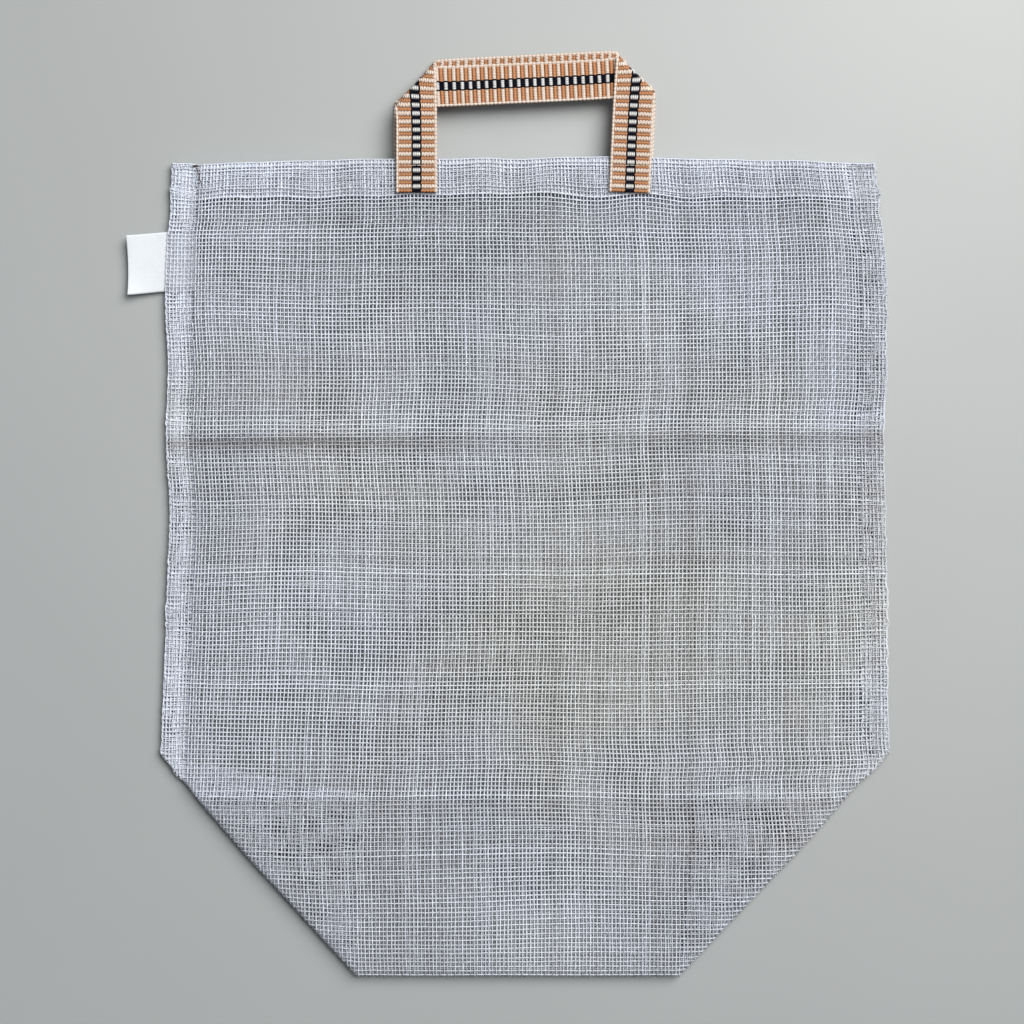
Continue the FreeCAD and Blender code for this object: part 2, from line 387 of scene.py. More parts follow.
# How far the edges stray outward, as (place along the edge, distance).
LEFT_STRAY = [
    (204, 0), (177, 0.5), (165, 1.8), (135, 2.2), (95, 0), (67, 0.5), (25, -2.2), (-25, -1.2),
    (-94, 0), (-104, 0), (-121, 1.4), (-145, 2.0), (-175, 1.0), (-204, 0),
]
RIGHT_STRAY = [
    (204, -1.4), (181, 0.4), (153, 3.0), (135, 3.4), (95, 2.6), (70, 0.6), (35, 0.8), (-15, 0.9),
    (-85, 0.2), (-96, 1.3), (-106, 0), (-139, 1.9), (-170, 1.0), (-204, 0),
]
TOP_STRAY = [(-176, -0.5), (-163, -1.0), (-62, 1.0), (50, 2.0), (120, 0.4), (176, -0.5)]

front_creep = waves(21, 90, 260)
front_slip = waves(22, 90, 260)
back_creep = waves(31, 90, 260)
back_slip = waves(32, 90, 260)
broad_tone = waves(61, 70, 240)
pucker_x = waves(62, 5, 15)
pucker_y = waves(63, 5, 15)
front_wave = waves(41, 45, 110, along=(1.6, 0.8))
front_dimple = waves(42, 16, 34)
back_wrinkle = waves(51, 50, 120)
hem_ripple = waves(23, 24, 62)


def fade_inside(x, y):
    """0 at the outline and 1 well inside."""
    return smooth(depth(x, y, OUTLINE) / 30.0)


def crease_line(x):
    """The upper crease, which rises a little to the right."""
    return UPPER_CREASE_Y + 0.01 * x + 0.35 * np.sin(x / 29.0)


def seam_depth(x, y):
    """Distance inside the nearer side seam's stitch line."""
    left = inward(x, y, OUTLINE, LEFT_SEAM) - SEAM_WIDTH
    right = inward(x, y, OUTLINE, RIGHT_SEAM) - SEAM_WIDTH
    return np.minimum(left, right)


def fold_depth(x, y):
    """Distance inside the nearest fold: the bottom or a tucked corner."""
    return np.min([inward(x, y, OUTLINE, e) for e in (LEFT_CORNER, BOTTOM, RIGHT_CORNER)], axis=0)


def front_rise(x, y):
    """How far the front ply is up from its edges, from 0 to 1."""
    return np.minimum(shoulder(seam_depth(x, y) / SIDE_RISE), shoulder(fold_depth(x, y) / FOLD_RISE))


def front_form(x, y):
    """Height of the front ply without its wrinkles."""
    rise = front_rise(x, y)
    level = PANEL_Z + (HEM_Z - PANEL_Z) * smooth((y - HEM_Y + 30) / 34)
    z = FLANGE_Z + (level - FLANGE_Z) * rise
    z = z + rise * crease_strength(x) * upper_crease(y - crease_line(x))
    ridge = y - LOWER_CREASE_Y
    z = z + 0.9 * rise * np.exp(-np.where(ridge > 0, ridge / 5.0, -ridge / 3.5))
    return z - (FLANGE_Z - EDGE_Z) * (1 - smooth(depth(x, y, OUTLINE) / 2.0))


def front_height(x, y):
    """Height of the front ply."""
    free = front_rise(x, y) * smooth((TOP_Y - 8 - y) / 20)
    return front_form(x, y) + free * front_wrinkles(x, y)


def upper_crease(d):
    """The crease's profile: a ridge, then a step down and a slow recovery."""
    below = 0.9 - 2.2 * smooth(-d / 5.0)
    return np.where(d > 0, 0.9 * np.exp(-np.abs(d) / 14), below * np.exp(-np.maximum(-d - 5, 0) / 14))


def back_height(x, y):
    """Height of the back ply."""
    z = BACK_PANEL_Z + (BACK_HEM_Z - BACK_PANEL_Z) * smooth((y - HEM_Y + 14) / 14)
    z = z + 0.25 * (1 + back_wrinkle(x, y)) * smooth(depth(x, y, OUTLINE) / 25.0)
    return z + (EDGE_Z - 0.4 - BACK_PANEL_Z) * (1 - smooth(fold_depth(x, y) / 9.0))


def curve_through(points):
    """A smooth curve through (place, value) points, level at each."""
    place, value = np.array(sorted(points), float).T

    def at(p):
        k = np.clip(np.searchsorted(place, p) - 1, 0, len(place) - 2)
        return value[k] + (value[k + 1] - value[k]) * smooth((p - place[k]) / (place[k + 1] - place[k]))

    return at


left_stray, right_stray = curve_through(LEFT_STRAY), curve_through(RIGHT_STRAY)
top_stray = curve_through(TOP_STRAY)


def sway(x, y):
    """How the cloth really lies: its edges stray from straight lines, and its hem ripples."""
    share = np.clip(0.5 + x / (2 * OUTLINE[RIGHT_SEAM][0]), 0, 1)
    ripple = 0.55 * hem_ripple(x, y) * np.exp(-(((y - HEM_Y) / 15) ** 2))
    return (
        x - left_stray(y) * (1 - share) + right_stray(y) * share,
        y + top_stray(x) * smooth((y - TOP_Y + 50) / 50) + ripple,
    )


def back_showing(x, y):
    """How far the back ply reaches past the front one along the right side."""
    return 1.5 * smooth((x - 110) / 60) * (0.45 + 0.55 * smooth((y - 60) / 120))


def crease_strength(x):
    """The upper crease is sharpest towards the left and faint in the middle."""
    return (0.62 + 0.38 * np.cos((x + 125) / 48)) * (1 - 0.4 * smooth((x - 80) / 60))


def tone_and_painted_shade(x, y):
    """Change of tone: broad patches, painted shade and painted light by the creases, and darker towards
    the base and along the right seam.
    """
    upper, lower = y - crease_line(x), y - LOWER_CREASE_Y
    shade = 0.05 * broad_tone(x, y)
    # Painted shade just below the upper crease, and painted light above it.
    shade = shade - 0.42 * crease_strength(x) * np.exp(-(((upper + 3.6) / 3.4) ** 2))
    shade = shade + 0.12 * np.exp(-(((upper - 6) / 7) ** 2))
    # A painted highlight along the lower crease's ridge, and painted shade just below it.
    shade = shade + 0.30 * np.exp(-(((lower - 1.2) / 1.8) ** 2))
    shade = shade - 0.10 * np.exp(-(((lower + 5) / 4.5) ** 2))
    shade = shade - 0.12 * smooth((LOWER_CREASE_Y + 25 - y) / 60)
    return shade - 0.14 * smooth(-seam_depth(x, y) / 3.0) * (x > 0)


# ---- How the slack front settles ----
SETTLE_STEP = 5.5  # spacing of the simulated sheet's points
SETTLE_SCALE = 0.01  # metres of simulated sheet for each millimetre of bag
SETTLE_FRAMES = 24
SLACK = 0.0015  # how much larger the front is than the gap that it spans
SETTLE_LIMIT = 1.5  # the most that the sheet may leave its smooth form


def settled(x, y, z, held):
    """A slack sheet's height over a grid once it settles, by cloth simulation."""
    columns, rows = x.shape
    index = np.arange(columns * rows).reshape(columns, rows)
    quads = np.stack([index[:-1, :-1], index[1:, :-1], index[1:, 1:], index[:-1, 1:]], axis=-1)
    points = np.stack([x, y, z], axis=-1).reshape(-1, 3) * SETTLE_SCALE
    mesh = bpy.data.meshes.new("settling")
    mesh.from_pydata(points.tolist(), [], quads.reshape(-1, 4).tolist())
    sheet = added("settling", mesh)
    scene = bpy.context.scene
    group = sheet.vertex_groups.new(name="held")
    group.add([int(i) for i in index.ravel()[held.ravel()]], 1.0, "REPLACE")
    modifier = sheet.modifiers.new("Cloth", "CLOTH")
    cloth = modifier.settings
    cloth.vertex_group_mass = "held"
    cloth.quality = 6
    cloth.mass = 0.3
    cloth.tension_stiffness = cloth.compression_stiffness = 40.0
    cloth.shear_stiffness = 3.0
    cloth.bending_stiffness = 6.0
    cloth.air_damping = 2.0
    cloth.shrink_min = -SLACK
    cloth.effector_weights.gravity = 0.0
    modifier.point_cache.frame_start, modifier.point_cache.frame_end = 1, SETTLE_FRAMES
    for step in range(1, SETTLE_FRAMES + 1):
        scene.frame_set(step)
    evaluated = sheet.evaluated_get(bpy.context.evaluated_depsgraph_get())
    result = np.empty(columns * rows * 3, np.float32)
    evaluated.data.vertices.foreach_get("co", result)
    scene.frame_set(1)
    bpy.data.objects.remove(sheet)
    bpy.data.meshes.remove(mesh)
    return result.reshape(columns, rows, 3)[:, :, 2] / SETTLE_SCALE


def cubic_shares(t):
    """How much each of four points in a row counts at t between the middle two."""
    return (
        (-t + 2 * t**2 - t**3) / 2, (2 - 5 * t**2 + 3 * t**3) / 2,
        (t + 4 * t**2 - 3 * t**3) / 2, (-(t**2) + t**3) / 2,
    )


def settling():
    """How far the front ply stands off its smooth form, as a field."""
    low, high = OUTLINE.min(0) - 2 * SETTLE_STEP, OUTLINE.max(0) + 3 * SETTLE_STEP
    across, up = np.arange(low[0], high[0], SETTLE_STEP), np.arange(low[1], high[1], SETTLE_STEP)
    x, y = np.meshgrid(across, up, indexing="ij")
    start = front_form(x, y) + 0.15 * front_wave(x, y) + 0.1 * front_dimple(x, y)
    held = (np.minimum(seam_depth(x, y), fold_depth(x, y)) < 3.0) | (y > HEM_Y - 3.0)
    rise = settled(x, y, start, held) - front_form(x, y)
    rise = SETTLE_LIMIT * np.tanh(rise / SETTLE_LIMIT)

    def field(px, py):
        u = np.clip((px - across[0]) / SETTLE_STEP, 1, len(across) - 2.001)
        v = np.clip((py - up[0]) / SETTLE_STEP, 1, len(up) - 2.001)
        i, j = u.astype(int), v.astype(int)
        total = 0.0
        for a, share in enumerate(cubic_shares(u - i)):
            for b, other in enumerate(cubic_shares(v - j)):
                total = total + share * other * rise[i + a - 1, j + b - 1]
        return total

    return field


front_wrinkles = settling()


# ---- Weaving ----
WARP_PITCH, ROW_PITCH = 1.79, 1.99
YARN_RADIUS = 0.32
CRIMP = 0.24  # how far a yarn goes up and down at its crossings
STRAY = 0.10  # how far a yarn strays from its place
MEANDER = 35, 90  # over what length it strays to one side and back
# Warps are painted lighter than rows, as painted light from the side.
WARP_TONE, ROW_TONE = 0.74, 0.68
END_STUB = 0.15  # the shortest end left past a yarn's last crossing, in pitches
MOUTH_HALF = OUTLINE[MOUTH][0]
SEAM_GAP = 0.7  # how far the panel's nearest warp stands off the seam


def fan(x, y):
    """Warps keep parallel to the sides of the body, which widens downwards."""
    widening = (OUTLINE[RIGHT_SEAM][0] - MOUTH_HALF) / (TOP_Y - OUTLINE[RIGHT_SEAM][1])
    return x * (1 + widening * (TOP_Y - y) / MOUTH_HALF)


class Weave:
    """The crossings of one ply, warps by rows, as uneven as loosely woven gauze."""

    def __init__(self, seed, warp_x, row_y, place, polygon, shade=0.0):
        rng = np.random.default_rng(seed)
        self.rng = rng
        x, y = np.meshgrid(warp_x, row_y, indexing="ij")
        warps, rows = x.shape
        along = rng.uniform(*MEANDER, warps)[:, None]
        across = rng.uniform(*MEANDER, rows)[None]
        x = x + rng.normal(0, 0.9 * STRAY, warps)[:, None]
        x = x + STRAY * np.sin(y / along * 2 * math.pi + rng.uniform(0, 6.3, warps)[:, None])
        y = y + rng.normal(0, STRAY, rows)[None]
        y = y + STRAY * np.sin(x / across * 2 * math.pi + rng.uniform(0, 6.3, rows)[None])
        x = x + rng.normal(0, STRAY / 2, x.shape)
        y = y + rng.normal(0, STRAY / 2, y.shape)
        self.x, self.y = x, y
        self.place, self.inside = place, depth(x, y, polygon)
        self.over = 1.0 - 2.0 * ((np.arange(warps)[:, None] + np.arange(rows)[None]) % 2)
        # shade moves the ply's tone: painted shade on the back ply, painted light on the front.
        self.warp_look = self.looks(warps, WARP_TONE + shade)
        self.row_look = self.looks(rows, ROW_TONE + shade)

    def looks(self, count, middle):
        """Each yarn's own radius and tone; a few are thicker and paler."""
        radius = YARN_RADIUS * self.rng.normal(1.0, 0.07, count)
        tone = np.clip(self.rng.normal(middle, 0.12, count), 0, 1)
        thick = self.rng.random(count) < 0.035
        radius[thick] *= 1.15
        tone[thick] = 0.92
        return np.array([radius, tone])

    def yarn(self, yarns, part, up, radius, tone):
        """One yarn through part of the crossings, cut at the ply's outline."""
        x, y, inside, over = self.x[part], self.y[part], self.inside[part], up * self.over[part]
        kept = np.flatnonzero(inside > 0)
        if len(kept) < 2:
            return
        first, last = kept[0], kept[-1]
        xs, ys = list(x[first : last + 1]), list(y[first : last + 1])
        lifts = list(over[first : last + 1] * CRIMP)
        for end, beyond in ((first, first - 1), (last, last + 1)):
            if not 0 <= beyond < len(x):
                continue
            t = inside[end] / (inside[end] - inside[beyond])
            if t < END_STUB:
                continue
            at = 0 if beyond < end else len(xs)
            xs.insert(at, x[end] + t * (x[beyond] - x[end]))
            ys.insert(at, y[end] + t * (y[beyond] - y[end]))
            lifts.insert(at, 0.0)
        path = np.stack(self.place(np.array(xs), np.array(ys)), axis=1)
        path[:, 2] += lifts
        n = len(path)
        slub = 1 + 0.09 * self.rng.normal(size=n) + 0.4 * (self.rng.random(n) < 0.008)
        shade = np.clip(tone + tone_and_painted_shade(path[:, 0], path[:, 1]) + 0.07 * self.rng.normal(size=n), 0, 1)
        yarns.add(path, np.clip(radius * slub, 0.2, 0.62), shade)

    def fill(self, yarns, first=0, last=None):
        """Adds the part of the ply between two rows."""
        warps, rows = self.x.shape
        last = rows - 1 if last is None else last
        for i in range(warps):
            self.yarn(yarns, np.s_[i, first : last + 1], 1.0, *self.warp_look[:, i])
        for j in range(first, last if last < rows - 1 else rows):
            self.yarn(yarns, np.s_[:, j], -1.0, *self.row_look[:, j])


def row_places(scale):
    """Row heights: they lie further apart below the hem, and again towards the bottom."""
    rows = [TOP_Y - 0.35]
    while rows[-1] > OUTLINE[BOTTOM][1] - ROW_PITCH:
        y = rows[-1]
        pitch = ROW_PITCH + 0.16 * smooth((180 - y) / 80) + 0.14 * smooth((30 - y) / 170)
        rows.append(y - pitch * scale)
    return np.array(rows)


def warp_places(pitch, shift=0.0):
    count = int(2 * MOUTH_HALF / pitch) + 8
    return (np.arange(count) - (count - 1) / 2) * pitch + shift


def front_place(x, y):
    px = fan(x, y) + 0.45 * fade_inside(x, y) * front_creep(x, y)
    py = y + 0.6 * fade_inside(x, y) * front_slip(x, y)
    above = py - crease_line(px)
    py = py - 0.9 * np.exp(-(((above - 4) / 6) ** 2))
    beside = seam_depth(px, py)
    px = px - SEAM_GAP * np.sign(px) * np.exp(-beside / 6.0) * (beside > 0)
    z = front_height(px, py)
    px, py = sway(px, py)
    return px, py, z


def back_place(x, y):
    px = fan(x, y) + 0.7 * fade_inside(x, y) * back_creep(x, y)
    py = y + 0.9 * fade_inside(x, y) * back_slip(x, y)
    z = back_height(px, py)
    px, py = sway(px, py)
    px = px + back_showing(px, py)
    return px, py, z


def unfanned(polygon):
    """A polygon as it is before fan() widens it."""
    return np.array([(x / (fan(1.0, y)), y) for x, y in polygon])


CUT = unfanned(OUTLINE)


def panel_pair(face, place, seed, row_scale, shift, shade):
    """One face of the bag, in two pieces that join between the creases."""
    rows = row_places(row_scale)
    ply = Weave(seed, warp_places(WARP_PITCH, shift), rows, place, CUT, shade)
    middle = int(np.argmin(np.abs(rows - SPLIT_Y)))
    upper, lower = Yarns(), Yarns()
    ply.fill(upper, 0, middle)
    ply.fill(lower, middle)
    nodes = f"{face}_panel_mouth", f"{face}_panel_middle"
    top = upper.make(f"{face}_gauze_upper", GAUZE, "mesh_cloth", *nodes)
    nodes = [f"{face}_panel_base"] + (["bottom_fold"] if face == "back" else [])
    base = lower.make(f"{face}_gauze_lower", GAUZE, "mesh_cloth", *nodes)
    bend_over(top)
    bend_over(base)


def signed_area(polygon):
    """A polygon's area, negative where it runs clockwise."""
    x, y = polygon[:, 0], polygon[:, 1]
    return 0.5 * (np.dot(x, np.roll(y, -1)) - np.dot(y, np.roll(x, -1)))


def anticlockwise(polygon):
    return polygon if signed_area(polygon) > 0 else polygon[::-1]


def bend_over(piece):
    """Bakes a piece's transform into its mesh."""
    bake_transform(piece)


# ---- Hems, felled seams and tucked corners ----
FACES = {"front": (front_height, 1.0), "back": (back_height, -1.0)}  # height, and which way is out
HEM_TURN = 3.6  # the raw edge folded under, above the stitch line
HEM_ROLL = 2.8  # the thicker roll at the mouth
TAIL_DIP = 1.5  # how far the seam's inner plies lie lower under the label's ends
TUCK_REACH = 95.0  # from a tucked corner's middle past its furthest point


def puckered(back_shift, height):
    """Places an inner ply, rumpled where the hem crosses the felled seams."""
    def place(x, y):
        px, py = fan(x, y), y
        z = height(px, py)
        rumple = 0.12 + 0.45 * (1 - smooth((seam_depth(px, py) + 3) / 8))
        px, py = px + rumple * pucker_x(px, py), py + 0.7 * rumple * pucker_y(px, py)
        px, py = sway(px, py)
        return px + back_shift * back_showing(px, py), py, z
    return place


def hem(face, seed):
    """The turned hem: a ply down to the stitch line, its raw edge folded under."""
    height, outward = FACES[face]
    back_shift = 1.0 if face == "back" else 0.0
    yarns = Yarns()
    low_y = HEM_Y - 0.6
    side = MOUTH_HALF - 0.4
    bands = (low_y, TOP_Y), (low_y, HEM_Y + HEM_TURN), (TOP_Y - HEM_ROLL, TOP_Y)
    for k, (low, high) in enumerate(bands):
        rows = np.arange(high - 0.5, low - ROW_PITCH, -ROW_PITCH * (0.86 if k == 0 else 0.6))
        warps = warp_places(WARP_PITCH * 0.94, 0.5 + 0.4 * k)
        place = puckered(back_shift, lambda x, y, k=k: height(x, y) - outward * (0.6 + 0.3 * k))
        band = np.array([(-side, high), (-side, low), (side, low), (side, high)])
        Weave(seed + k, warps, rows, place, band).fill(yarns)
    piece = yarns.make(f"{face}_hem_gauze", GAUZE, "mesh_cloth", f"{face}_hem")
    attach(piece, "mouth_section")


def felled_seam(side, seed):
    """A side seam's allowances: two more plies between the faces."""
    mouth, low_end = edge_ends(SEAM_EDGES[side])
    inner = np.sign(mouth[0]) * (SEAM_WIDTH + 0.8)
    corner = edge_ends(CORNER_EDGES[side])[1]
    slope = (corner - low_end)[1] / abs((corner - low_end)[0])
    band = np.array([mouth, low_end, low_end - (inner, -slope * abs(inner)), mouth - (inner, 0.0)])
    band = anticlockwise(unfanned(band))
    tail_low, tail_high = limits("label_tail")
    tail_middle, tail_half = (tail_low[1] + tail_high[1]) / 2, (tail_high[1] - tail_low[1]) / 2
    yarns = Yarns()
    for k, (pitch, lean) in enumerate(((0.84, 0.012), (0.9, -0.02))):
        rows = np.arange(TOP_Y - 0.6 - 0.3 * k, low_end[1] - 20, -ROW_PITCH * 0.97)
        centre = (mouth[0] + low_end[0]) / 2
        warps = centre + np.arange(-15, 16) * WARP_PITCH * pitch
        def place(x, y, height=2.5 - 0.4 * k, lean=lean, k=k):
            px = fan(x, y) + 20 * lean * np.sin(y / 19) + 0.25 * pucker_x(x, y)
            py = y + 0.5 * math.copysign(1, lean) * np.sin(x / 3 + k) + 0.25 * pucker_y(x, y)
            under = smooth((tail_half + 1.0 - np.abs(py - tail_middle)) / 2.0) * (px < 0)
            px, py = sway(px, py)
            return px + 0.4 * back_showing(px, py), py, height - TAIL_DIP * under

        Weave(seed + k, warps, rows, place, band).fill(yarns)
    nodes = f"{side}_seam_mouth", f"{side}_seam_middle"
    piece = yarns.make(f"{side}_seam_gauze", GAUZE, "mesh_cloth", *nodes)
    bend_over(piece)


def tucked_corner(side, seed):
    """The corner pushed in between the faces: two plies with crosswise yarns."""
    upper, lower = edge_ends(CORNER_EDGES[side])
    along = (upper - lower) / np.hypot(*(upper - lower))
    tuck_low, tuck_high = limits(f"{side}_corner_tuck")
    apex_x = tuck_high[0] if side == "left" else tuck_low[0]
    if side == "right":
        apex_x = max(apex_x, lower[0] + 8.5)
    apex = np.array((apex_x, LOWER_CREASE_Y))
    triangle = anticlockwise(np.array([upper, lower, apex]))
    turn = math.atan2(along[1], along[0]) * 2 - math.pi / 2
    centre = triangle.mean(0)
    yarns = Yarns()
    for k in range(2):
        warps = np.arange(-TUCK_REACH, TUCK_REACH, WARP_PITCH)
        rows = np.arange(TUCK_REACH, -TUCK_REACH, -ROW_PITCH * 1.1)
        angle = turn + (0.012 if k else -0.02)
        c, s = math.cos(angle), math.sin(angle)
        local = (triangle - centre) @ np.array([[c, -s], [s, c]])
        def place(x, y, c=c, s=s, k=k):
            px, py = centre[0] + x * c - y * s, centre[1] + x * s + y * c
            inside = np.clip(depth(px, py, OUTLINE) / 6.0, 0, 1)
            low = back_height(px, py) + (0.9 + 0.8 * k) * inside
            px, py = sway(px, py)
            return px, py, low + 0.1
        Weave(seed + k, warps, rows, place, local).fill(yarns)
    nodes = f"{side}_corner_tuck", f"{side}_shoulder_fold"
    piece = yarns.make(f"{side}_tuck_gauze", GAUZE, "mesh_cloth", *nodes)
    bend_over(piece)


# ---- Handles ----
RIB = 2.0  # length of one rib along the tape
RIB_STEPS, COLUMN_STEPS = 6, 4  # points along a rib and across a column
# Warp columns across the tape: edge cord, ribs, black line, chequered middle, and back again.
COLUMNS = "e" + "r" * 8 + "l" + "c" * 4 + "l" + "r" * 8 + "e"
COLUMN_WIDTHS = {"e": 1.2, "r": 0.8075, "l": 0.70, "c": 0.87}
COLUMN_RELIEF = {"e": 0.46, "r": 0.40, "l": 0.46, "c": 0.38}
CREAM_RISE = 0.45  # how much higher a cream float stands, and how much lower a coloured one
SCALLOP = 0.3  # how far an edge cord's loops stand out
FACE_SHARE, REVERSE_SHARE = -0.18, 0.10  # half of how much longer a coloured rib is than a cream one
MIDDLE_HALF = 2.44  # from the tape's middle to the outside of its black lines
MIDDLE_SQUEEZE = 0.07  # how much black checks draw the middle in, and white ones let it out
SERRATION = 0.65  # how unevenly the face's ribs end, from float to float
CORE_INSET = 0.42  # the grooves' depth under the tape's flat faces
GRIP_RISE = 0.0485  # the grip's slope, up to the right


def meet(p, u, q, v):
    """Where the line through p along u crosses the line through q along v."""
    t = ((q[0] - p[0]) * v[1] - (q[1] - p[1]) * v[0]) / (u[0] * v[1] - u[1] * v[0])
    return p + t * u


def unit(v):
    return v / np.hypot(*v)


class HandlePath:
    """A handle's tape: up a leg, over a mitre, across, over a mitre, and down."""

    def __init__(self, face, bulge):
        left, right = limits(f"{face}_left_foot"), limits(f"{face}_right_foot")
        loop_low, loop_high = limits(f"{face}_handle_loop")
        self.width = left[1][0] - left[0][0]
        self.thickness = left[1][2] - left[0][2]
        foot_y = left[0][1]
        lean = (right[1][0] - right[0][0] - self.width) / (TOP_Y - foot_y)
        rise = np.array((1.0, GRIP_RISE))
        half = self.width / 2 * np.hypot(*rise)
        inner_x = right[1][0] - self.width + lean * (loop_high[1] - TOP_Y)
        grip_y = loop_high[1] - half - GRIP_RISE * inner_x
        self.start = np.array(((left[0][0] + left[1][0]) / 2, foot_y))
        end = np.array((right[0][0] + self.width / 2, foot_y))
        self.up, self.across = np.array((0.0, 1.0)), unit(rise)
        self.down = -unit(np.array((lean, 1.0)))
        grip = np.array((0.0, grip_y))
        first = meet(self.start, self.up, grip, self.across)
        second = meet(grip, self.across, end, self.down)
        self.leg_z = (left[0][2] + left[1][2]) / 2
        self.bar_z = loop_low[2] + loop_high[2] - self.leg_z
        self.first, self.second = first, second
        self.bulge = bulge
        self.middle = np.hypot(*(first - self.start)) + np.hypot(*(second - first)) / 2
        self.length = self.middle + np.hypot(*(second - first)) / 2 + np.hypot(*(end - second))

    def fold(self, points, at, before, after, high, low):
        """Wraps points past a mitre round from one level to the other."""
        line = unit(before + after)
        out = unit(before - line * np.dot(before, line))
        radius = abs(high - low) / 2
        slack = (math.pi / 2 - 1) * radius
        d = (points - at) @ out + slack
        turn = np.clip((d + radius) / radius, 0, math.pi)
        bent = np.where(turn >= math.pi, (math.pi - 2) * radius - d, radius * (np.sin(turn) - 1))
        along = np.where(turn <= 0, d, bent)
        sign = math.copysign(1, high - low)
        points = points + (along - d)[:, None] * out
        beside = (points - at) @ line / (self.width * 0.72)
        push = self.bulge * np.clip(1 - 0.6 * beside**2, 0, 1) * np.exp(np.minimum(along, 0) / 7.0)
        points = points + push[:, None] * out
        z = (high + low) / 2 + sign * radius * np.cos(turn)
        normal = np.concatenate([np.sin(turn)[:, None] * out, sign * np.cos(turn)[:, None]], axis=1)
        return points, z, normal

    def __call__(self, s, t, lift):
        """Points at s along the tape, t across it and lift above its middle."""
        side = np.array((self.up[1], -self.up[0]))
        flat = self.start + s[:, None] * self.up + t[:, None] * side
        one, z, normal = self.fold(flat, self.first, self.up, self.across, self.leg_z, self.bar_z)
        two, z2, normal2 = self.fold(one, self.second, self.across, self.down, self.bar_z, self.leg_z)
        late = s > self.middle
        flat = np.where(late[:, None], two, one)
        z = np.where(late, z2, z)
        normal = np.where(late[:, None], normal2, normal)
        return np.column_stack([flat, z]) + normal * lift[:, None]


def yarn_colour(column, rib):
    """The yarn that shows at a warp column and rib."""
    odd = rib % 2
    return {"e": CREAM, "l": BLACK, "r": (TERRACOTTA, CREAM)[odd], "c": (BLACK, WHITE)[odd]}[column]


def crown(phase):
    """The rounded back of one float, from 0 to 1 and back to 0."""
    return np.sin(math.pi * np.clip(phase, 0, 1)) ** 0.6


def drape(face, points):
    """Past the mouth the front handle sinks a little and the back one lies uneven."""
    past = np.clip((points[:, 1] - TOP_Y) / 50.0, 0, 1.2)
    if face == "front":
        points[:, 2] -= 2.6 * past**2 + 0.35 * np.sin(points[:, 0] / 17.0) * past
    else:
        points[:, 2] += 0.3 * (1 + np.sin(points[:, 0] / 21.0 + 1.0)) * past
    return points


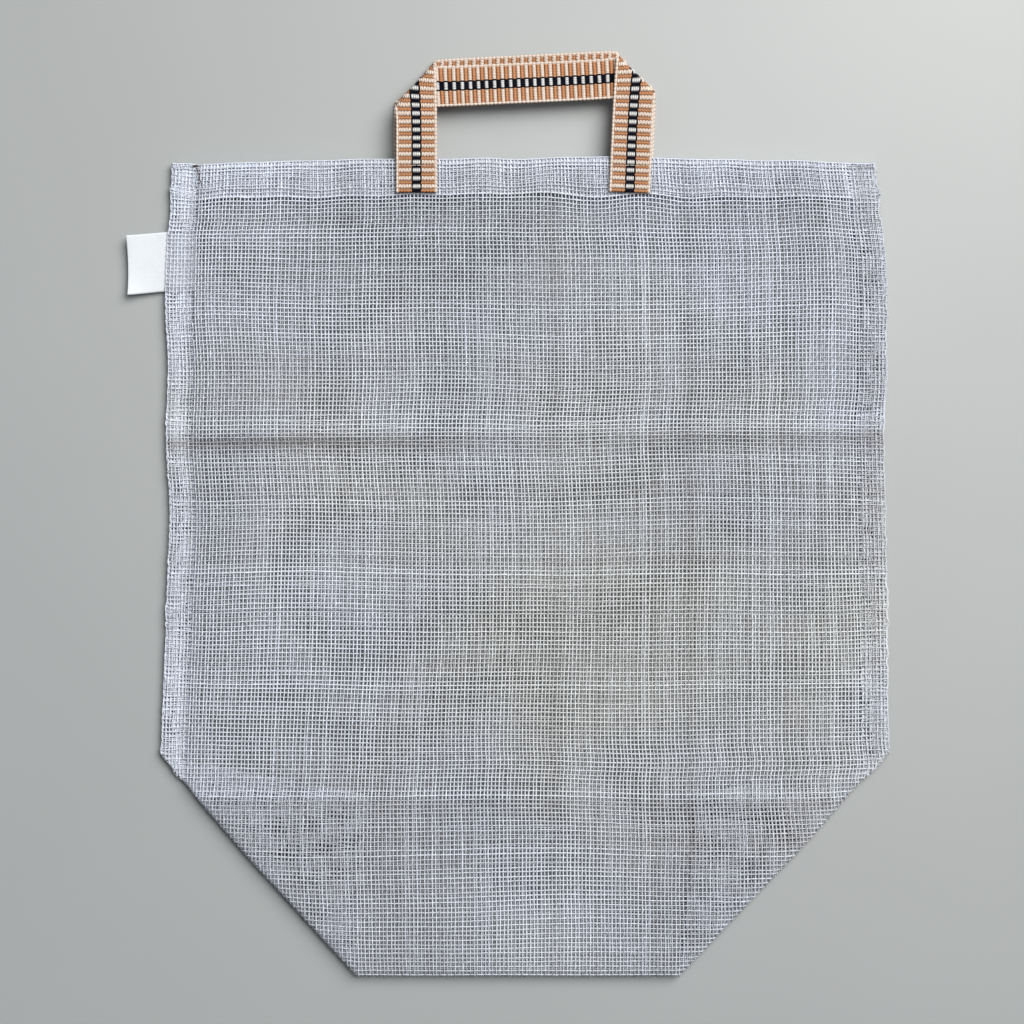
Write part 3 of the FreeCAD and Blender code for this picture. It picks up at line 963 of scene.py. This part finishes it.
def tape(face, bulge, seed):
    """One handle's tape: ribs of short floats on both faces, and scalloped edge cords."""
    path = HandlePath(face, bulge)
    rng = np.random.default_rng(seed)
    ribs = int(round(path.length / RIB))
    widths = np.array([COLUMN_WIDTHS[c] for c in COLUMNS])
    reliefs = np.array([COLUMN_RELIEF[c] for c in COLUMNS])
    borders = np.concatenate([[0], np.cumsum(widths)]) - widths.sum() / 2
    columns = len(COLUMNS)
    across, rows = columns * COLUMN_STEPS, ribs * RIB_STEPS
    ring = np.concatenate([np.arange(across), np.arange(across, 0, -1)])
    upper = np.concatenate([np.ones(across), -np.ones(across)])
    column = np.minimum(ring // COLUMN_STEPS, columns - 1)
    kind = np.array(list(COLUMNS))[column]
    a, b = np.meshgrid(ring, np.arange(rows + 1), indexing="xy")
    in_column, in_rib = a / COLUMN_STEPS % 1.0, b / RIB_STEPS % 1.0
    rib = np.minimum(b // RIB_STEPS, ribs - 1)
    coloured = 1.0 - 2.0 * (rib % 2)
    inner_rows = (b > 0) & (b < rows)

    t = np.interp(a / COLUMN_STEPS, np.arange(columns + 1), borders)
    middle = np.abs(t) < MIDDLE_HALF
    t = t * np.where(middle, 1 - MIDDLE_SQUEEZE * coloured * crown(in_rib), 1.0)
    cord = kind == "e"
    t = t + np.sign(t) * SCALLOP * crown(in_rib) * np.clip((np.abs(t) - borders[-2]) / widths[-1], 0, 1)
    share = np.where(upper > 0, FACE_SHARE, REVERSE_SHARE)
    lengthen = np.where(cord, 0.0, share) * -np.cos(math.pi * b / RIB_STEPS)
    zigzag = np.abs(a / COLUMN_STEPS % 2.0 - 1.0) - 0.5
    serrated = (upper > 0) & (kind == "r")
    s = b / rows * path.length + inner_rows * (lengthen + SERRATION * serrated * zigzag)

    wobble = np.abs(rng.normal(0, 0.04, (ribs + 1, columns + 1)))[b // RIB_STEPS, a // COLUMN_STEPS]
    waist = np.where(cord, 0.5 + 0.5 * crown(in_rib), 0.1 + 0.9 * crown(in_rib))
    height = crown(in_column) * waist
    floats = np.where((upper > 0) & ~cord & (kind != "l"), 1 - CREAM_RISE * coloured, 1.0)
    relief = (reliefs[column] * floats + wobble) * height
    edge = (ring == 0) | (ring == across)
    lift = np.where(edge, 0.0, upper * (path.thickness / 2 - CORE_INSET + relief))
    points = drape(face, path(s.ravel(), t.ravel(), lift.ravel()))

    count = len(ring)
    quads = tube_faces(rows + 1, count)[:, [0, 3, 2, 1]]
    caps = np.stack([np.arange(count), np.arange(count)[::-1] + rows * count])
    strip_column = np.clip(np.where(upper > 0, ring, ring - 1) // COLUMN_STEPS, 0, columns - 1)
    table = np.array([[yarn_colour(c, r) for c in COLUMNS] for r in range(2)])
    slots = table[(np.arange(rows) // RIB_STEPS % 2)[:, None], strip_column[None]].ravel()
    slots = np.concatenate([slots, [CREAM, CREAM]])
    # The tone is painted shade in the grooves between ribs, columns and an edge cord's loops, with a
    # little random tone.
    groove = crown(in_rib) ** np.where(coloured > 0, 3.4, np.where(upper > 0, 2.4, 1.2))
    groove = np.where(cord, 0.35 + 0.4 * crown(in_rib), groove)
    tone = groove * (0.35 + 0.65 * crown(in_column)) + rng.normal(0, 0.05, a.shape)
    u = (b / rows + 0 * a).ravel()
    v = np.where(upper > 0, a / across, 2.02 - a / across).ravel() / 2.05
    piece = mesh_object(
        f"{face}_handle_tape", points, [quads, caps], TAPE_YARNS, slots,
        tone=np.clip(tone, 0, 1).ravel(), uv=np.column_stack([u, v]),
    )
    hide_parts(f"{face}_handle_loop", f"{face}_left_foot", f"{face}_right_foot")
    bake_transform(piece)


# ---- Stitches, thread end and label ----
def stitch_row(yarns, points, length, gap, radius, lift):
    """Separate stitches along a line of points, each dipping into the cloth at its ends."""
    points = np.asarray(points, float)
    legs = np.linalg.norm(np.diff(points, axis=0), axis=1)
    run = np.concatenate([[0], np.cumsum(legs)])
    steps = np.array([0.0, 0.12, 0.35, 0.65, 0.88, 1.0])
    rise = np.array([-0.55, 0.25, 1.0, 1.0, 0.25, -0.55]) * lift
    for start in np.arange(0, run[-1] - length, length + gap):
        at = start + steps * length
        path = np.column_stack([np.interp(at, run, points[:, k]) for k in range(3)])
        path[:, 2] += rise
        yarns.add(path, radius, 0.5)


def hem_stitches(face):
    """The row that holds the hem."""
    height, outward = FACES[face]
    low, high = limits(f"{face}_hem_stitch")
    x = np.linspace(low[0], high[0], 160)
    y = np.full_like(x, (low[1] + high[1]) / 2)
    z = height(x, y) + 0.42 * outward
    yarns = Yarns(6, 1.0)
    stitch_row(yarns, np.column_stack([*sway(x, y), z]), 2.6, 0.5, 0.2, 0.12 * outward)
    piece = yarns.make(f"{face}_hem_stitches", SEWING, "sewing_thread", f"{face}_hem_stitch")
    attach(piece, "mouth_section")


def seam_stitches(side):
    """The row along a side seam, beside the panel."""
    mouth, low_end = edge_ends(SEAM_EDGES[side])
    share = np.linspace(0, 1, 200)[:, None]
    line = mouth + (low_end - mouth) * share
    x = line[:, 0] - np.sign(mouth[0]) * (SEAM_WIDTH - 1.6)
    y = line[:, 1] - 1.5
    z = front_height(x, y) + 0.45
    yarns = Yarns(6, 1.0)
    stitch_row(yarns, np.column_stack([*sway(x, y), z]), 2.4, 0.6, 0.19, 0.12)
    nodes = f"{side}_stitch_mouth", f"{side}_stitch_middle"
    bend_over(yarns.make(f"{side}_seam_stitches", SEWING, "sewing_thread", *nodes))


def tack_stitches(face, side):
    """Two rows across a handle's foot."""
    node, outward = f"{face}_{side}_tack", FACES[face][1]
    low, high = limits(node)
    surface = high[2] if outward > 0 else low[2]
    yarns = Yarns(6, 1.0)
    for y in (low[1] + 0.35, high[1] - 0.35):
        xs = np.linspace(low[0] + 0.5, high[0] - 0.5, 40)
        z = np.full_like(xs, surface - 0.08 * outward)
        stitch_row(yarns, np.column_stack([xs, np.full_like(xs, y), z]), 2.0, 0.55, 0.15, 0.1 * outward)
    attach(yarns.make(f"{node}_stitches", TACK_THREAD, "sewing_thread", node), "mouth_section")


def thread_end():
    """The dark thread's end: a knot on the mouth's edge and a last stitch down the hem."""
    low, high = limits("thread_tail")
    turn = np.linspace(0, 1, 10)
    x = low[0] - 2.4 + 0.8 * (high[0] - low[0]) * turn
    y = (low[1] + high[1]) / 2 - 0.3 + 0.5 * np.sin(turn * 3.0)
    z = front_height(x, y) + 0.6 + 0.15 * np.sin(turn * 5.0)
    yarns = Yarns(6, 1.0)
    yarns.add(np.column_stack([x, y, z]), 0.55 * (1.0 - 0.55 * turn**2), 0.5)
    fall = np.linspace(0, 1, 16)
    x, y = x[0] + 1.5 + 4.0 * fall, TOP_Y - 0.8 - 12.0 * fall
    z = front_height(x, y) + 0.25 + 0.3 * np.sin(fall * math.pi)
    yarns.add(np.column_stack([*sway(x, y), z]), 0.15, 0.5)
    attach(yarns.make("thread_end", DARK_THREAD, "dark_thread", "thread_tail"), "mouth_section")


LABEL_SLOPE = 0.105  # the label points slightly down as it leaves the seam


def label():
    """The white label, folded double at its outer end, with its ends inside the seam."""
    low, high = limits("label")
    tail_low, tail_high = limits("label_tail")
    z = (low[2] + high[2]) / 2
    ply, gap = 0.24, 0.3  # thickness of one layer, and the room between the two
    inner_x, outer_x = tail_high[0] - 0.4, low[0] + 0.3
    turn = np.linspace(math.pi / 2, 3 * math.pi / 2, 9)
    def profile(radius):
        run = np.linspace(inner_x, outer_x + gap, 26)
        bend = np.column_stack([outer_x + gap + radius * np.cos(turn), radius * np.sin(turn)])
        top = np.column_stack([run[:-1], np.full(25, radius)])
        under = np.column_stack([run[:-1][::-1], np.full(25, -radius)])
        return np.concatenate([top, bend, under])
    outer, inside = profile(gap / 2 + ply), profile(gap / 2)
    ring = np.concatenate([outer, inside[::-1]])
    ys = np.linspace(low[1] + 2.0, high[1] + 0.9, 33)
    reach = np.clip((high[0] - ring[:, 0]) / (high[0] - low[0]), 0, 1)
    points = []
    for y in ys:
        off = (y - ys.mean()) / 15.0
        x = ring[:, 0] - 0.5 * reach * off**2 - 0.02 * reach * (y - ys.mean())
        py = y + np.minimum(ring[:, 0] - high[0], 0) * LABEL_SLOPE
        lift = 1.5 * reach**2 * (0.8 + off**2) + 0.25 * reach * math.sin(2.2 * off + 0.6)
        points.append(np.column_stack([x, np.broadcast_to(py, x.shape), z + ring[:, 1] + lift]))
    points = np.concatenate(points)
    count = len(ring)
    quads = tube_faces(len(ys), count)
    half = np.arange(len(outer) - 1)
    near = np.stack([half, count - 1 - half, count - 2 - half, half + 1], axis=1)
    far = near[:, ::-1] + (len(ys) - 1) * count
    u = np.tile(np.arange(count) / count, len(ys))
    v = np.repeat(np.linspace(0, 0.5, len(ys)), count)
    piece = mesh_object("side_label", points, [quads, near, far], [LABEL], uv=np.column_stack([u, v]))
    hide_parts("label", "label_tail")
    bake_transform(piece)


# ---- Stage, lights and camera ----
FLOOR_Z = -0.8
LIGHT_POOL_PLACE, LIGHT_POOL_RADIUS = (0.22, 0.32, 0.0), 0.84  # where the floor is painted palest, a painted pool of light, in metres
WARM, COOL = rgb(1.0, 0.99, 0.97), rgb(0.93, 0.96, 1.0)
KEY_PLACE = (1.7, 1.7, 2.7)  # metres
LAMPS = [("key", KEY_PLACE, 3.2, 65.0, WARM), ("fill", (-2.2, -1.0, 2.6), 2.4, 3.0, COOL)]
VIEW_CENTRE, VIEW_WIDTH = (-0.00625, 0.02875, 0.004), 0.512  # what the camera sees, in metres


def facing_origin(place):
    """The turn of a lamp at a place that shines towards the origin."""
    return (-Vector(place)).to_track_quat("-Z", "Y").to_euler()


def stage():
    """A pale floor with a painted pool of light to the upper right, soft light from the upper right, and a
    camera straight above.
    """
    scene = bpy.context.scene
    scene.view_settings.view_transform = "Standard"
    bpy.ops.mesh.primitive_plane_add(size=60.0, location=(0, 0, FLOOR_Z * MM))
    floor = bpy.context.object
    floor.name = "floor"
    n = Nodes("floor_paper")
    # A painted pool of light, palest towards the upper right.
    glow = n.glow(LIGHT_POOL_PLACE, LIGHT_POOL_RADIUS)
    paper = n.mix(glow, rgb(0.345, 0.36, 0.364), rgb(0.61, 0.63, 0.62))
    colour = n.darkened(paper, n.noise(6.0, 3.0), 0.3, 0.7, rgb(0.97, 0.97, 0.97))
    floor.data.materials.append(n.set(Base_Color=colour, Roughness=0.9, Specular_IOR_Level=0.1))

    world = bpy.data.worlds.new("studio")
    scene.world = world
    world.use_nodes = True
    background = world.node_tree.nodes["Background"].inputs
    background["Color"].default_value = COOL
    background["Strength"].default_value = 0.17

    for name, place, size, power, colour in LAMPS:
        lamp = bpy.data.lights.new(name, "AREA")
        lamp.size, lamp.energy, lamp.color = size, power, colour[:3]
        added(name, lamp, place, facing_origin(place))
    sky = bpy.data.lights.new("window", "SUN")
    sky.energy, sky.angle, sky.color = 2.9, math.radians(50), WARM[:3]
    added("window", sky, turn=facing_origin(KEY_PLACE))

    camera = bpy.data.cameras.new("camera")
    camera.lens, camera.sensor_width = 85.0, 36.0
    x, y, z = VIEW_CENTRE
    place = (x, y, z + VIEW_WIDTH * camera.lens / camera.sensor_width)
    scene.camera = added("camera", camera, place)


stage()
# The back ply is painted darker, as painted shade under the front ply, and the front a little lighter, as
# painted light.
panel_pair("front", front_place, seed=101, row_scale=1.0, shift=0.0, shade=0.04)
panel_pair("back", back_place, seed=202, row_scale=1.011, shift=0.7, shade=-0.29)
hem("front", seed=301)
hem("back", seed=311)
felled_seam("left", seed=321)
felled_seam("right", seed=331)
tucked_corner("left", seed=341)
tucked_corner("right", seed=351)
tape("front", bulge=1.7, seed=401)
tape("back", bulge=-1.2, seed=402)
hem_stitches("front")
hem_stitches("back")
seam_stitches("left")
seam_stitches("right")
for face in FACES:
    tack_stitches(face, "left")
    tack_stitches(face, "right")
thread_end()
label()
